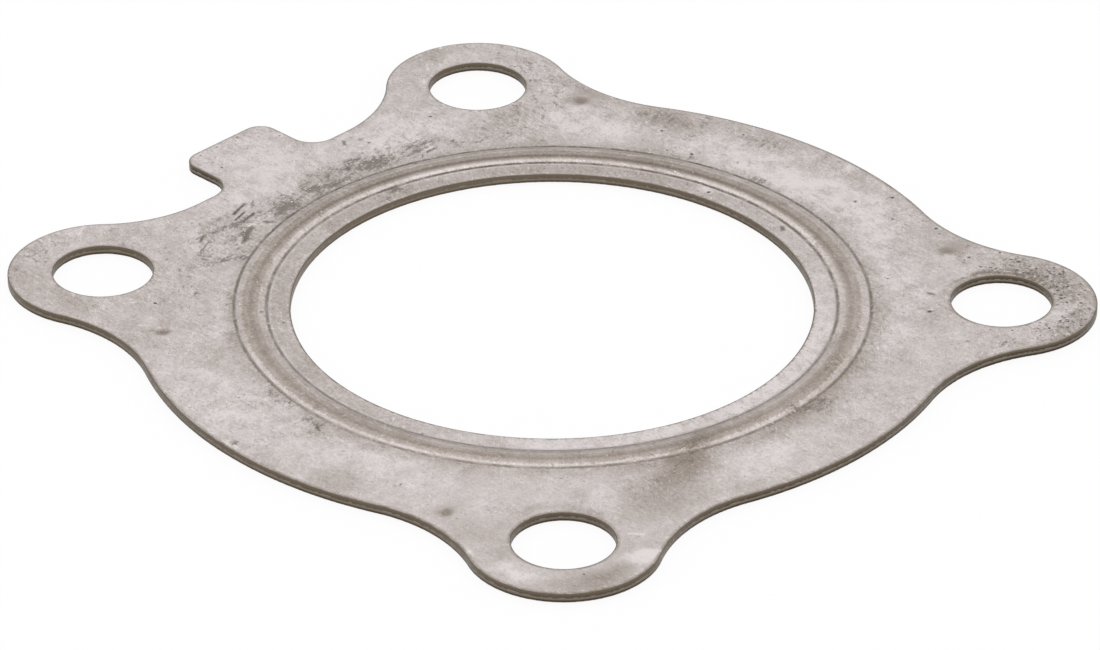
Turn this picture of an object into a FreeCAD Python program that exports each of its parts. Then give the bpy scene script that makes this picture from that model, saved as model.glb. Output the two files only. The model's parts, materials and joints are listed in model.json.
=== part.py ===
"""Turbocharger gasket: two stamped steel sheets, spot-welded face to face.

Millimetres. The origin is the centre of the gas port, on the plane where the two sheets meet.
+Z points to the upper face, and +Y points to the tab.
"""
import FreeCAD
import Part
import math
import os

# Sheet and gas port
sheet_thickness = 0.5
port_diameter = 54.5

# Sealing bead, pressed out of each sheet round the port
inner_land_width = 2.5
bead_width = 3.4
bead_crown_width = 1.6
bead_height = 0.25

# Bolt holes: one pair beside the tab and a wider pair across the port
bolt_hole_diameter = 10.5
tab_pair_spacing = 56.0
tab_pair_offset = 38.5
wide_pair_spacing = 65.6
wide_pair_offset = 33.4

# Outline: a round body, an ear round each bolt hole, and hollow curves that blend the two
ear_radius = 10.0
body_side_radius = 43.8
body_end_radius = 43.0
ear_blend_radius = 17.2

# Straight edge between the tab-side ears, and the tab that stands on it
tab_edge_offset = 41.7
tab_edge_blend_radius = 14.6
tab_width = 11.9
tab_length = 8.1
tab_corner_radius = 2.1
tab_root_radius = 2.8

# Edge that the punch draws in on the upper side of each sheet
edge_roll = 0.1

# Spot welds: place of each dent, measured from its bolt hole outwards (away from the
# line of symmetry) and inwards (towards the port)
weld_dent_diameter = 1.7
weld_dent_depth = 0.05
weld_places = {
    "tab right": (5.7, 10.3),
    "tab left": (4.3, 13.4),
    "wide right": (4.0, 11.4),
    "wide left": (4.4, 12.2),
}

# Slack for telling whether two places are the same
tolerance = 0.001

port_radius = port_diameter / 2
bolt_hole_radius = bolt_hole_diameter / 2
port_centre = FreeCAD.Vector(0, 0, 0)
up = FreeCAD.Vector(0, 0, 1)
bolt_holes = {
    "tab right": FreeCAD.Vector(tab_pair_spacing / 2, tab_pair_offset, 0),
    "tab left": FreeCAD.Vector(-tab_pair_spacing / 2, tab_pair_offset, 0),
    "wide right": FreeCAD.Vector(wide_pair_spacing / 2, -wide_pair_offset, 0),
    "wide left": FreeCAD.Vector(-wide_pair_spacing / 2, -wide_pair_offset, 0),
}


def flipped(point):
    """The same point on the other side of the line of symmetry."""
    return FreeCAD.Vector(-point.x, point.y, point.z)


def towards(start, end, distance):
    """The point at a distance from start, on the line to end."""
    step = FreeCAD.Vector(end).sub(start)
    step.normalize()
    return start.add(step.multiply(distance))


def arc(centre, start, end):
    """The shorter arc about a centre from start to end."""
    radius = start.distanceToPoint(centre)
    middle = towards(centre, start.add(end).multiply(0.5), radius)
    return Part.Arc(start, middle, end).toShape()


def ear_arc(hole, start, end):
    """The outer edge of the ear round a bolt hole, by way of its point furthest from the port."""
    furthest = towards(hole, port_centre, -ear_radius)
    return Part.Arc(start, furthest, end).toShape()


def line(start, end):
    return Part.LineSegment(start, end).toShape()


def blend_centre(first, first_radius, second, second_radius, blend_radius, side):
    """Centre of the arc that touches two circles from outside.

    side is +1 for the solution to the left of the line from first to second, -1 for the right.
    """
    across = second.sub(first)
    distance = across.Length
    to_first = first_radius + blend_radius
    to_second = second_radius + blend_radius
    along = (to_first ** 2 - to_second ** 2 + distance ** 2) / (2 * distance)
    aside = math.sqrt(to_first ** 2 - along ** 2)
    across.normalize()
    left = FreeCAD.Vector(-across.y, across.x, 0)
    return first.add(across.multiply(along)).add(left.multiply(side * aside))


def body_outline():
    """Face bounded by the outer edge without the tab, on the plane Z = 0."""
    tab_ear = bolt_holes["tab right"]
    wide_ear = bolt_holes["wide right"]
    end_blend = blend_centre(port_centre, body_end_radius, wide_ear, ear_radius, ear_blend_radius, -1)
    wide_blend = blend_centre(port_centre, body_side_radius, wide_ear, ear_radius, ear_blend_radius, 1)
    tab_blend = blend_centre(port_centre, body_side_radius, tab_ear, ear_radius, ear_blend_radius, -1)
    edge_blend_height = tab_edge_offset + tab_edge_blend_radius
    edge_blend_reach = math.sqrt(
        (ear_radius + tab_edge_blend_radius) ** 2 - (edge_blend_height - tab_pair_offset) ** 2
    )
    edge_blend = FreeCAD.Vector(tab_ear.x - edge_blend_reach, edge_blend_height, 0)

    end_body = towards(port_centre, end_blend, body_end_radius)
    wide_ear_end = towards(wide_ear, end_blend, ear_radius)
    wide_ear_side = towards(wide_ear, wide_blend, ear_radius)
    side_body_low = towards(port_centre, wide_blend, body_side_radius)
    side_body_high = towards(port_centre, tab_blend, body_side_radius)
    tab_ear_side = towards(tab_ear, tab_blend, ear_radius)
    tab_ear_edge = towards(tab_ear, edge_blend, ear_radius)
    edge_start = FreeCAD.Vector(edge_blend.x, tab_edge_offset, 0)

    right_side = [
        arc(end_blend, end_body, wide_ear_end),
        ear_arc(wide_ear, wide_ear_end, wide_ear_side),
        arc(wide_blend, wide_ear_side, side_body_low),
        arc(port_centre, side_body_low, side_body_high),
        arc(tab_blend, side_body_high, tab_ear_side),
        ear_arc(tab_ear, tab_ear_side, tab_ear_edge),
        arc(edge_blend, tab_ear_edge, edge_start),
    ]
    left_side = [edge.mirror(port_centre, FreeCAD.Vector(1, 0, 0)) for edge in right_side]
    ends = [arc(port_centre, flipped(end_body), end_body), line(edge_start, flipped(edge_start))]
    loop = Part.__sortEdges__(right_side + left_side + ends)
    return Part.Face(Part.Wire(loop))


def tab_bar(height):
    """The tab as a straight bar from the middle of the body outwards, its corners still square."""
    return Part.makeBox(
        tab_width, tab_edge_offset + tab_length, height, FreeCAD.Vector(-tab_width / 2, 0, 0)
    )


def blank(height):
    """The outline with its tab and bolt holes, as a plate that stands on the plane Z = 0."""
    rise = FreeCAD.Vector(0, 0, height)
    plate = body_outline().extrude(rise).fuse(tab_bar(height)).removeSplitter()
    plate = plate.makeFillet(tab_root_radius, tab_upright_edges(plate, tab_edge_offset))
    plate = plate.makeFillet(tab_corner_radius, tab_upright_edges(plate, tab_edge_offset + tab_length))
    for centre in bolt_holes.values():
        plate = plate.cut(Part.makeCylinder(bolt_hole_radius, height, centre, up))
    return plate


def tab_upright_edges(plate, y):
    """The two upright edges on the sides of the tab at a distance y from the port's centre."""
    edges = []
    for edge in plate.Edges:
        foot = edge.Vertexes[0].Point
        upright = abs(edge.tangentAt(edge.FirstParameter).z) > 1 - tolerance
        on_side = abs(abs(foot.x) - tab_width / 2) < tolerance
        if upright and on_side and abs(foot.y - y) < tolerance:
            edges.append(edge)
    return edges


def bead_line(reach):
    """Corners of the pressed sheet's underside in section, from the port out to a reach."""
    inner_foot = port_radius + inner_land_width
    slope_width = (bead_width - bead_crown_width) / 2
    return [
        FreeCAD.Vector(port_radius, 0, 0),
        FreeCAD.Vector(inner_foot, 0, 0),
        FreeCAD.Vector(inner_foot + slope_width, 0, bead_height),
        FreeCAD.Vector(inner_foot + slope_width + bead_crown_width, 0, bead_height),
        FreeCAD.Vector(inner_foot + bead_width, 0, 0),
        FreeCAD.Vector(reach, 0, 0),
    ]


def pressed_disc(reach):
    """Round sheet with the port and the upward bead, from the port out to a reach."""
    under = bead_line(reach)
    over = [point.add(FreeCAD.Vector(0, 0, sheet_thickness)) for point in reversed(under)]
    section = Part.Face(Part.makePolygon(under + over + under[:1]))
    return section.revolve(port_centre, up, 360)


def stamped_sheet():
    """Sheet with its bead upwards, its flat underside on Z = 0 and its edges still square."""
    corner = FreeCAD.Vector(max(tab_pair_spacing, wide_pair_spacing), tab_edge_offset + tab_length, 0)
    disc = pressed_disc(corner.Length)
    return disc.common(blank(sheet_thickness + bead_height)).removeSplitter()


def rolled_edges(sheet, height):
    """Sheet with the punch's drawn-in bevel along every cut edge that lies at a height."""
    rims = []
    for face in sheet.Faces:
        first_u, _, first_v, _ = face.ParameterRange
        if abs(face.normalAt(first_u, first_v).z) < tolerance:
            rims += [edge for edge in face.Edges if lies_at(edge, height)]
    return sheet.makeChamfer(edge_roll, rims)


def lies_at(edge, height):
    box = edge.BoundBox
    return abs(box.ZMin - height) < tolerance and abs(box.ZMax - height) < tolerance


def weld_dents(height, direction):
    """Four shallow round dents in the face at a height, whose outer side is direction (+1 or -1)."""
    ball_radius = ((weld_dent_diameter / 2) ** 2 + weld_dent_depth ** 2) / (2 * weld_dent_depth)
    lift = height + direction * (ball_radius - weld_dent_depth)
    balls = []
    for name, (outwards, inwards) in weld_places.items():
        hole = bolt_holes[name]
        x = hole.x + math.copysign(outwards, hole.x)
        y = hole.y - math.copysign(inwards, hole.y)
        balls.append(Part.makeSphere(ball_radius, FreeCAD.Vector(x, y, lift)))
    return Part.makeCompound(balls)


def upper_sheet():
    sheet = rolled_edges(stamped_sheet(), sheet_thickness)
    return sheet.cut(weld_dents(sheet_thickness, 1))


def lower_sheet():
    turned = stamped_sheet().mirror(port_centre, up)
    sheet = rolled_edges(turned, 0)
    return sheet.cut(weld_dents(-sheet_thickness, -1))


def main():
    os.makedirs("parts", exist_ok=True)
    for build in (upper_sheet, lower_sheet):
        solid = build().Solids[0]
        solid.exportStep("parts/" + build.__name__ + ".step")
        box = solid.BoundBox
        print(build.__name__, "valid", solid.isValid(), "volume", round(solid.Volume, 2), "box", box)


main()
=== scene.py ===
"""Turbocharger gasket: the finish of its two stamped steel sheets.

Lengths are millimetres in the row frame until a mesh, a light or the camera is made in metres.
"""
import json
import math
from collections.abc import Sequence
from dataclasses import dataclass

import bmesh
import bpy
import numpy as np
from mathutils import Matrix, Vector
from mathutils.geometry import delaunay_2d_cdt
from mathutils.kdtree import KDTree


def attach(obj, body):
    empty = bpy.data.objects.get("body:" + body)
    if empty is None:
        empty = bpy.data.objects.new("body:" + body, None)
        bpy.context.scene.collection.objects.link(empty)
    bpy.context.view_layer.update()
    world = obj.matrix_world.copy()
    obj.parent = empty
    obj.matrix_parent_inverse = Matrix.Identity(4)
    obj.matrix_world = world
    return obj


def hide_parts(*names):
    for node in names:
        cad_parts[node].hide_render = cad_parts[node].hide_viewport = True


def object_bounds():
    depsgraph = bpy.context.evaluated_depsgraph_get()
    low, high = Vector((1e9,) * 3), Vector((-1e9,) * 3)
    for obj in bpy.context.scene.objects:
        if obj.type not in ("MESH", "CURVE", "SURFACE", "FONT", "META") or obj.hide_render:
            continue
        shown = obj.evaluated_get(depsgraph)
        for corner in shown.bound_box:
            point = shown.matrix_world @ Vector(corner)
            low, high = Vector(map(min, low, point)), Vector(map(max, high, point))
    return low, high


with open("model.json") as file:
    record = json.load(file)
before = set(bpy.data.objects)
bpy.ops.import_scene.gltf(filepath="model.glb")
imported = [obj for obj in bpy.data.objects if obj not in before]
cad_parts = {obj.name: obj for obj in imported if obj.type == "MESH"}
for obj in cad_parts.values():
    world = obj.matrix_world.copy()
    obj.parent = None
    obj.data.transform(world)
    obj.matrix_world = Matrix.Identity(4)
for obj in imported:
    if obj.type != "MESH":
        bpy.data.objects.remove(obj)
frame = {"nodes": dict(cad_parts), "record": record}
cad_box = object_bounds()

millimetre = 0.001
mounts = {mount["name"]: mount for mount in frame["record"]["mounts"]}

# Sizes that the record states
port_radius = mounts["port"]["dims"]["r_mm"]
bolt_hole_radius = mounts["tab_pair_bolts"]["dims"]["hole_r_mm"]
tab_bolt, wide_bolt = (
    np.array([mounts[pair]["dims"]["spacing_x_mm"] / 2, mounts[pair]["pos_m"][1] / millimetre])
    for pair in ("tab_pair_bolts", "wide_pair_bolts")
)
sheet_thickness = -mounts["tab_pair_bolts"]["pos_m"][2] / millimetre
bead_height = mounts["upper_seal_face"]["pos_m"][2] / millimetre - sheet_thickness
bead_middle_radius = mounts["upper_seal_face"]["pos_m"][0] / millimetre

# Bead and outline, as in the part's source
bead_width = 3.4
bead_crown_width = 1.6
inner_foot = bead_middle_radius - bead_width / 2
outer_foot = bead_middle_radius + bead_width / 2
ear_radius = 10.0
body_side_radius = 43.8
body_end_radius = 43.0
ear_blend_radius = 17.2
tab_edge_offset = 41.7
tab_edge_blend_radius = 14.6
tab_width = 11.9
tab_length = 8.1
tab_corner_radius = 2.1
tab_root_radius = 2.8

# Form that the press leaves: rounded bends, a drawn-in rim and a rougher torn foot of the cut
crown_bend_reach = 0.45
foot_bend_reach = 0.28
rim_roll = 0.13
rim_roll_steps = 4
rim_flat = 0.1
roll_share_start = 0.12
roll_share_rise = 0.38
torn_depth = 0.18
torn_inset = 0.025
torn_foot_share = 0.6

# Fineness of the meshes
edge_step = 0.25
circle_steps = 720
bead_ring_step = 0.13
hidden_bead_rings = 12
face_step = 0.42
hidden_face_step = 3.0
lattice_jitter = 0.12
least_gap = 0.05
joining_reach = 0.0002
sharp_angle = math.radians(38)

port_centre = np.zeros(2)


def unit(vector):
    return vector / np.linalg.norm(vector)


def directions(angles):
    """Unit vectors at the given angles."""
    return np.stack([np.cos(angles), np.sin(angles)], 1)


def distance_to(points, x, y):
    """Distance of each point from a place."""
    return np.hypot(points[:, 0] - x, points[:, 1] - y)


def touch(centre, radius, other):
    """Where a circle meets the one about the other centre that touches it from outside."""
    return centre + radius * unit(other - centre)


def blend_centre(first, first_radius, second, second_radius, side):
    """Centre of the hollow blend that touches two circles, left (+1) or right (-1) of their line."""
    across = second - first
    distance = np.linalg.norm(across)
    to_first = first_radius + ear_blend_radius
    to_second = second_radius + ear_blend_radius
    along = (to_first ** 2 - to_second ** 2 + distance ** 2) / (2 * distance)
    aside = math.sqrt(to_first ** 2 - along ** 2)
    across = across / distance
    return first + across * along + np.array([-across[1], across[0]]) * side * aside


def arc_run(centre, radius, start, end, turn):
    """Points and outward normals along an arc, without its end point.

    turn is +1 where the edge bulges and -1 where it is hollow.
    """
    first = math.atan2(*(start - centre)[::-1])
    last = math.atan2(*(end - centre)[::-1])
    sweep = turn * ((turn * (last - first)) % (2 * math.pi))
    count = max(2, math.ceil(abs(sweep) * radius / edge_step))
    radial = directions(first + sweep * np.arange(count) / count)
    return centre + radius * radial, turn * radial


def line_run(start, end):
    """Points and outward normals along a straight edge, without its end point."""
    count = max(2, math.ceil(np.linalg.norm(end - start) / edge_step))
    share = np.arange(count)[:, None] / count
    ahead = unit(end - start)
    normal = np.array([ahead[1], -ahead[0]])
    return start + share * (end - start), np.repeat(normal[None], count, 0)


def outline_loop():
    """The outer edge, counter-clockwise, as points and outward normals."""
    bottom = np.array([0.0, -body_end_radius])
    end_blend = blend_centre(port_centre, body_end_radius, wide_bolt, ear_radius, -1)
    wide_blend = blend_centre(port_centre, body_side_radius, wide_bolt, ear_radius, 1)
    tab_blend = blend_centre(port_centre, body_side_radius, tab_bolt, ear_radius, -1)
    edge_blend_y = tab_edge_offset + tab_edge_blend_radius
    edge_blend_reach = math.sqrt(
        (ear_radius + tab_edge_blend_radius) ** 2 - (edge_blend_y - tab_bolt[1]) ** 2
    )
    edge_blend = np.array([tab_bolt[0] - edge_blend_reach, edge_blend_y])
    edge_start = np.array([edge_blend[0], tab_edge_offset])
    half_tab = tab_width / 2
    tab_end = tab_edge_offset + tab_length
    root = np.array([half_tab + tab_root_radius, tab_edge_offset + tab_root_radius])
    corner = np.array([half_tab - tab_corner_radius, tab_end - tab_corner_radius])
    root_start = np.array([root[0], tab_edge_offset])
    root_end = np.array([half_tab, root[1]])
    corner_start = np.array([half_tab, corner[1]])
    corner_end = np.array([corner[0], tab_end])
    tab_middle = np.array([0.0, tab_end])

    circles = [
        (port_centre, body_end_radius, 1),
        (end_blend, ear_blend_radius, -1),
        (wide_bolt, ear_radius, 1),
        (wide_blend, ear_blend_radius, -1),
        (port_centre, body_side_radius, 1),
        (tab_blend, ear_blend_radius, -1),
        (tab_bolt, ear_radius, 1),
        (edge_blend, tab_edge_blend_radius, -1),
    ]
    start = bottom
    runs = []
    for (centre, radius, turn), (other, other_radius, _) in zip(circles, circles[1:]):
        end = touch(centre, radius, other) if turn > 0 else touch(other, other_radius, centre)
        runs.append(arc_run(centre, radius, start, end, turn))
        start = end
    runs += [
        arc_run(edge_blend, tab_edge_blend_radius, start, edge_start, -1),
        line_run(edge_start, root_start),
        arc_run(root, tab_root_radius, root_start, root_end, -1),
        line_run(root_end, corner_start),
        arc_run(corner, tab_corner_radius, corner_start, corner_end, 1),
        line_run(corner_end, tab_middle),
    ]
    points = np.concatenate([run[0] for run in runs] + [tab_middle[None]])
    normals = np.concatenate([run[1] for run in runs] + [[[0.0, 1.0]]])
    mirrored = np.array([-1.0, 1.0])
    points = np.concatenate([points, points[-2:0:-1] * mirrored])
    normals = np.concatenate([normals, normals[-2:0:-1] * mirrored])
    return points, normals


def circle_loop(centre, radius, steps):
    """The edge of a round hole, as points and normals that point into the hole."""
    radial = directions(2 * math.pi * np.arange(steps) / steps)
    return centre + radius * radial, -radial


bolt_centres = [tab_bolt, tab_bolt * [-1, 1], wide_bolt, wide_bolt * [-1, 1]]
hole_steps = math.ceil(2 * math.pi * bolt_hole_radius / edge_step)
outline = outline_loop()
hole_loops = [circle_loop(centre, bolt_hole_radius, hole_steps) for centre in bolt_centres]
port_loop = circle_loop(port_centre, port_radius, circle_steps)
land_end = inner_foot - 2 * foot_bend_reach
flat_start = outer_foot + 2 * foot_bend_reach


def bead_rise(radius):
    """Height of the rounded bead over the flat sheet at a distance from the port's centre."""
    slope_width = (bead_width - bead_crown_width) / 2
    steepness = bead_height / slope_width
    fine = np.linspace(inner_foot - 1, outer_foot + 1, 2001)
    slope = np.zeros_like(fine)
    for bend, reach, change in (
        (inner_foot, foot_bend_reach, steepness),
        (inner_foot + slope_width, crown_bend_reach, -steepness),
        (outer_foot - slope_width, crown_bend_reach, -steepness),
        (outer_foot, foot_bend_reach, steepness),
    ):
        slope += change * np.clip((fine - bend + reach) / (2 * reach), 0, 1)
    rise = np.concatenate([[0], np.cumsum((slope[1:] + slope[:-1]) / 2 * np.diff(fine))])
    return np.interp(radius, fine, rise)


# Marks on the upper face, each placed where it lies on the real sheet
weld_dent_radius = 0.85
weld_dent_depth = 0.05
weld_dents = [(33.7, 28.2), (-32.3, 25.1), (-37.2, -21.2), (36.8, -22.0)]

# Lighter (+) and darker (-) patches, partly the sheet's own tone and partly painted sheen and shade of
# its waviness: x, y, half length, half width, turn in degrees, tone
patches = [
    (0, 45.5, 6, 5, 0, 0.16), (-4, 39.8, 11, 2.6, 2, 0.13), (14, 37.6, 8, 3.6, -20, 0.2),
    (18.5, 34.5, 3.5, 3, 0, 0.08), (30.2, 25.5, 3.2, 5, 10, 0.2), (33, 21.4, 4, 2.2, 25, 0.14),
    (36, 4, 3.4, 11, 3, 0.24), (37, -8, 3.2, 8, -5, 0.17), (33, -15.5, 4.5, 4, 40, 0.12),
    (28, -22, 5, 4, 45, 0.14), (21.5, -29.5, 4.5, 2.4, 25, 0.12), (-38, 10, 3.6, 8.5, -8, 0.14),
    (-38.4, -3.5, 2.6, 4, 0, 0.1), (-35, -12.5, 3.4, 6, 10, 0.16), (-7.5, -37.2, 7, 2.6, -4, 0.18),
    (-24.2, -31.6, 2, 2.6, -40, 0.1), (-29.4, -41.2, 1.8, 1.2, -30, 0.55),
    (-38.6, -37, 1.1, 2.2, 25, 0.2), (-40.3, -34, 1.3, 2.4, 12, 0.34),
    (-41, -28.2, 0.6, 0.4, 0, 0.5), (34.8, -39.4, 2.2, 1, -40, 0.16),
    (26, -39.4, 2, 0.7, -20, 0.12), (42.1, -2.9, 0.5, 0.5, 0, 0.4), (-24, 46, 3, 2, -20, 0.08),
    (30.5, 47, 3.2, 1.5, -10, -0.2), (-35.6, 44.6, 2.6, 3.6, -35, -0.16),
    (-34.6, 37, 2.2, 5, 0, -0.12), (27.5, 30.6, 4.4, 2, -15, -0.14),
    (37.6, 18.6, 2.6, 5.6, 20, -0.18), (41, 7, 1.8, 4, 5, -0.12), (41, -0.6, 1.6, 1.2, 0, -0.1),
    (-40.2, -9, 2.4, 3.2, 15, -0.18), (-34.4, -0.3, 1.7, 1.1, 20, -0.26),
    (-12, -31.2, 6, 1.9, 22, -0.34), (-4, -34.2, 4, 1.5, 5, -0.16), (3, -34.4, 4, 1.6, -5, -0.2),
    (-19, -34.6, 6.5, 4, 5, -0.24), (-33.5, -40.6, 2.6, 1.4, 0, -0.22),
    (-37, -41, 5, 2.6, -35, -0.24), (37.9, -23, 1.8, 2.6, -20, -0.16),
    (38.8, -31.4, 3.6, 3.4, -60, -0.26), (33.4, -27.9, 2.4, 0.4, 0, -0.4),
    (36.7, -29.3, 2.4, 0.55, -45, -0.55), (38.4, -32.9, 2.4, 0.55, -85, -0.5),
    (36.4, 17.4, 2.2, 4.6, 20, -0.14), (-38.2, -25, 2.4, 3.4, 0, -0.14),
    (2.5, 36.3, 3.4, 1.2, 0, -0.14), (28.3, 5, 0.7, 1.4, 10, 0.3), (26.6, 17.2, 0.7, 3, 35, 0.14),
    (-34, 4, 1.1, 8, 0, 0.14), (-24.6, 24, 7, 1.1, 45, 0.14), (24.2, -24.2, 6, 1, 45, -0.14),
    (-31, -27.6, 2.6, 0.6, -20, -0.25), (-27.4, -31.6, 0.6, 2.4, 0, -0.25),
    (39.4, -37.6, 2.4, 4.6, 15, -0.16), (33.6, -43, 5.5, 1.6, 10, -0.2),
    (24.6, -30.4, 2.6, 2, 0, -0.1), (9.5, -31.8, 6, 1.8, 12, -0.12),
]

# Discolouring of the spot welds: x, y, half length, half width, turn, amount
smudge_patches = [
    (33.5, 28.2, 1.2, 1, 0, 1), (32.4, 29.1, 0.45, 0.35, 0, 0.7), (35.3, 28.4, 1.2, 2.2, 10, 0.36),
    (34, 26.3, 1.1, 0.9, 0, 0.3), (-32.3, 24.8, 0.85, 0.75, 0, 1), (-33, 25.8, 0.35, 0.28, 0, 0.95),
    (-32.7, 25.3, 0.7, 0.32, -50, 0.7), (-32.6, 25.2, 1.5, 1.1, -30, 0.32),
    (-37.1, -21.2, 0.95, 0.85, 0, 1), (-37.1, -21, 1.7, 1.4, 0, 0.26),
    (36.6, -22.3, 1.05, 0.95, 20, 0.8), (38.2, -22.6, 1.7, 1.6, 0, 0.3),
    (38.9, -18.6, 0.9, 2.2, 5, 0.34), (-40.2, -22, 0.6, 5, 0, 0.3),
]

# Rougher parts of the face: x, y, half length, half width, turn, amount
rough_patches = [
    (33, 34, 4.5, 6.5, 0, 1), (28, 30, 7, 3, -10, 0.8), (38.8, -33, 4, 8, 0, 1),
    (33, -41, 7, 3, 5, 0.9), (-14, 34.5, 8, 4, 25, 0.7), (5, 36, 9, 3.4, 0, 0.8),
    (-30, 45, 6, 3, 15, 0.6), (-24, 36, 3, 6, 0, 0.6), (36, 18, 3.4, 8, 20, 0.6),
    (-2, 48, 6, 2, 0, 0.6), (-38, 2, 4, 8, 0, 0.35),
]

# Grime that clings beside the bead and on the ears: x, y, half length, half width, turn, amount
grime_patches = [
    (-12, 33.1, 2, 0.65, 26, 1), (-13.2, 33, 3.6, 1.7, 25, 0.42), (-5.2, 34.6, 2.3, 1.15, 8, 1),
    (-6.6, 33.6, 1.1, 0.5, 10, 0.75), (-0.4, 34.7, 0.9, 1.3, 0, 1), (1.6, 34.4, 2, 0.75, 0, 1),
    (4.4, 34.6, 2, 0.8, 0, 0.6), (8.2, 34.3, 2.4, 1.3, -14, 1), (6, 36.2, 1.2, 1, 0, 0.6),
    (0, 35.4, 17, 2.2, 0, 0.34), (-11.5, 35.9, 3.2, 0.5, 3, 0.65), (13.4, 33.2, 2.6, 1.9, -20, 0.6),
    (17.2, 31.2, 1, 1.3, 0, 0.6), (-17.3, 31.2, 1.8, 0.7, 0, 0.75),
    (-18.5, 32.6, 3.4, 1.6, 33, 0.38), (-15.8, 30.3, 0.8, 0.45, 0, 0.8),
    (20.4, 29.4, 4.5, 1.4, -38, 0.34), (-12.5, -31, 5, 1, 22, 0.32),
    (-18, -34.6, 4.5, 2.6, 10, 0.12), (-33.9, 0.6, 0.9, 1.7, 5, 0.5),
    (-33.2, 6.5, 0.7, 2.4, -12, 0.45), (4, -34, 3.2, 1.2, -6, 0.5),
    (34.6, -27.6, 2, 0.8, -15, 0.38), (37.1, -28.9, 2, 0.7, -45, 0.6),
    (38.7, -31.6, 1.9, 0.7, -75, 0.6), (38.7, -35, 1.8, 0.7, -100, 0.55),
    (39.4, -33, 2.6, 6, 0, 0.4), (34.5, -41.4, 5, 1.5, 12, 0.4), (26.2, -39.6, 1.6, 0.8, -20, 0.5),
    (33.7, 2.4, 0.5, 2, 3, 0.55), (32.2, 12.2, 1, 1.6, 18, 0.38), (5.4, 28.1, 1.6, 0.7, -10, 0.6),
    (3.2, 27.9, 1.2, 0.5, 0, 0.6), (-42.4, 3.4, 0.8, 1.6, 0, 0.5), (36.4, 18.6, 2.4, 4.2, 28, 0.24),
    (40.4, 8, 1.6, 6, 6, 0.24), (41, -17, 1.2, 3.4, -8, 0.4),
]

# Gouges and dark strokes: x, y of both ends, half width, depth
strokes = [
    (-10.1, 37.3, -7.9, 38.05, 0.19, 0.036), (-10.75, 36.3, -9, 36.8, 0.17, 0.036),
    (-10.2, 35.55, -8.5, 35.9, 0.17, 0.034), (-13.4, 32.4, -10.7, 33.75, 0.22, 0.022),
    (-16.5, 35.7, -15.7, 36.2, 0.17, 0.03), (-18, 34.1, -16, 35, 0.1, 0.024),
    (-12.3, 37.55, -11.6, 37.75, 0.12, 0.018), (-7.6, 37.2, -6.9, 37.7, 0.14, 0.02),
    (-14.6, 35.9, -12.4, 36, 0.13, 0.016), (-14.8, 36.4, -14.3, 36.2, 0.12, 0.018),
    (-9, 33.9, -8.45, 33.15, 0.15, 0.028), (-16, 30.1, -15.4, 30.2, 0.16, 0.024),
    (5.15, 35.4, 6.1, 36.8, 0.24, 0.026), (6.6, 36.8, 7.4, 36.4, 0.16, 0.028),
    (13.8, 32.2, 14.7, 32.1, 0.12, 0.022), (12.5, 31.6, 12.9, 31.9, 0.12, 0.022),
    (8.8, 39.7, 9.1, 40.1, 0.2, 0.03), (8.3, 38.9, 8.6, 39.1, 0.12, 0.012),
    (10.5, 39.2, 10.8, 39.2, 0.14, 0.016), (14.3, 36, 15, 37, 0.07, 0.01),
    (35.8, -13.6, 35.9, -16.8, 0.08, 0.01), (32.9, -17, 33, -19.5, 0.08, 0.01),
    (-34.9, -0.9, -34.3, 0.1, 0.15, 0.024), (28, -6.9, 28.3, -6.5, 0.24, 0.03),
    (28.7, -26.9, 28.9, -27.4, 0.18, 0.03), (-18.2, -32.4, -17.8, -32, 0.13, 0.02),
]

deepest_gouge = 0.036

# Bright scratches: x, y of both ends, half width, depth
scratches = [
    (-11.2, 35.6, -9.9, 33.9, 0.12, 0.01), (-42.7, 5.4, -42.6, 4.4, 0.22, 0.006),
    (-42.9, 3.2, -43, 2.4, 0.18, 0.006), (-31, 31.9, -30, 31.2, 0.1, 0.006),
    (25.4, 44.2, 24.4, 43.2, 0.1, 0.006), (-9.9, 33.9, -8.9, 32.8, 0.1, 0.008),
    (14, 32.45, 14.8, 32.5, 0.14, 0.01), (5.5, 35.8, 5.9, 36.5, 0.09, 0.006),
    (35.6, -21.4, 35.9, -22.9, 0.17, 0.012), (-31.6, -0.8, -30.7, -1.9, 0.18, 0.01),
    (-43.1, 5, -43.3, 2.6, 0.16, 0.01), (-40.9, -28, -41, -28.5, 0.3, 0.01),
    (-27.4, -37.2, -26.6, -38.2, 0.1, 0.006), (-24.6, 45.9, -22.9, 46.7, 0.1, 0.006),
    (27.8, 46.2, 26.9, 45.1, 0.12, 0.008), (37.4, -29.2, 38.6, -31, 0.09, 0.008),
    (-33.6, 28.2, -32.6, 27, 0.1, 0.006), (41.8, -2.8, 41.95, -2.95, 0.22, 0.01),
]

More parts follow.
